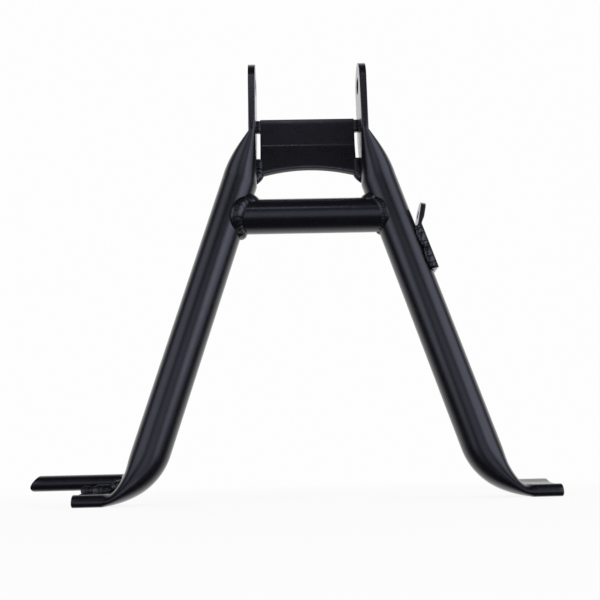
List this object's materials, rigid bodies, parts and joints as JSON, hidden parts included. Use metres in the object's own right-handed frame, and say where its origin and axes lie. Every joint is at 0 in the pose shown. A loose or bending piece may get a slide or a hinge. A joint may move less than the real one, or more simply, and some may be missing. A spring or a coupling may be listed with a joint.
{
  "type": "moped centre stand",
  "caption": "Welded steel centre stand: tube legs pressed flat into pivot ears and feet, coped cross tube, folded bridge plate, foot lever and spring hook.",
  "frame": {"origin": "middle of the pivot axis, half-way between the two ears", "axes": "+X along the pivot axis towards the leg with the spring hook, +Z from the feet up to the ears, +Y from the front of the stand to the side with the foot lever"},
  "size_m": [0.344, 0.0392, 0.3094],
  "materials": {
    "satin_black_paint": "satin black powder coat over steel",
    "weld_paint": "satin black powder coat over rippled weld metal"
  },
  "bodies": {
    "root": {"left_leg": "satin_black_paint", "right_leg": "satin_black_paint", "cross_tube": "satin_black_paint", "bridge_plate": "satin_black_paint", "foot_lever": "satin_black_paint", "spring_hook": "satin_black_paint", "left_cross_weld_front": "weld_paint", "left_cross_weld_rear": "weld_paint", "right_cross_weld_front": "weld_paint", "right_cross_weld_rear": "weld_paint", "left_top_weld": "weld_paint", "right_top_weld": "weld_paint", "left_bottom_weld": "weld_paint", "bridge_weld_left_upper": "weld_paint", "bridge_weld_right_upper": "weld_paint", "bridge_weld_left_lower": "weld_paint", "bridge_weld_right_lower": "weld_paint", "lever_tip_weld": "weld_paint", "lever_foot_weld": "weld_paint", "lever_leg_weld": "weld_paint", "hook_weld_upper": "weld_paint", "hook_weld_lower": "weld_paint", "hook_weld_rear": "weld_paint"}
  },
  "joints": []
}
